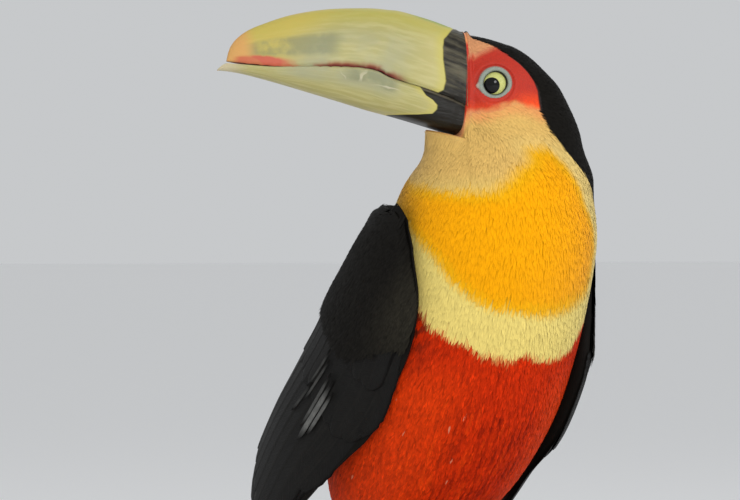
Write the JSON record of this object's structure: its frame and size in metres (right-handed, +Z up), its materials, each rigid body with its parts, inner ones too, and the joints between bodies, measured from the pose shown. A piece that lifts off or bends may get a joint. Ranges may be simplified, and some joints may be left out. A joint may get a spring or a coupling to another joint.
{
  "type": "toucan model",
  "caption": "Life-size green-billed toucan that grips a short cut branch on a round display stand, its head turned back over the right shoulder and the long bill almost level.",
  "frame": {"origin": "middle of the flat underside of the stand's base, straight below the perch", "axes": "+Z up, the breast faces -Y and the tail points to +Y, the perch runs along X and the bird's right is -X; the bill points to -X because the head is turned"},
  "size_m": [0.2013, 0.2493, 0.37],
  "materials": {
    "black_feathers": "soft black plumage with a faint sheen",
    "bib_feathers": "soft cream and orange plumage",
    "red_feathers": "soft red plumage",
    "bill_horn": "satin horn",
    "eye": "polished, opaque",
    "foot_skin": "scaly, matt",
    "claw_horn": "satin horn",
    "perch_wood": "peeled, rough",
    "stand_wood": "dark stain, satin lacquer",
    "stand_steel": "brushed"
  },
  "bodies": {
    "root": {"bill_lower": "bill_horn", "bill_upper": "bill_horn", "claw_left_inner_back": "claw_horn", "claw_left_inner_front": "claw_horn", "claw_left_outer_back": "claw_horn", "claw_left_outer_front": "claw_horn", "claw_right_inner_back": "claw_horn", "claw_right_inner_front": "claw_horn", "claw_right_outer_back": "claw_horn", "claw_right_outer_front": "claw_horn", "eye_left": "eye", "eye_right": "eye", "foot_left": "foot_skin", "foot_right": "foot_skin", "head": "bib_feathers", "neck": "bib_feathers", "perch": "perch_wood", "stand_base": "stand_wood", "stand_rod_left": "stand_steel", "stand_rod_right": "stand_steel", "tail": "black_feathers", "thigh_left": "black_feathers", "thigh_right": "black_feathers", "trunk": "red_feathers", "wing_left": "black_feathers", "wing_right": "black_feathers"}
  },
  "joints": []
}
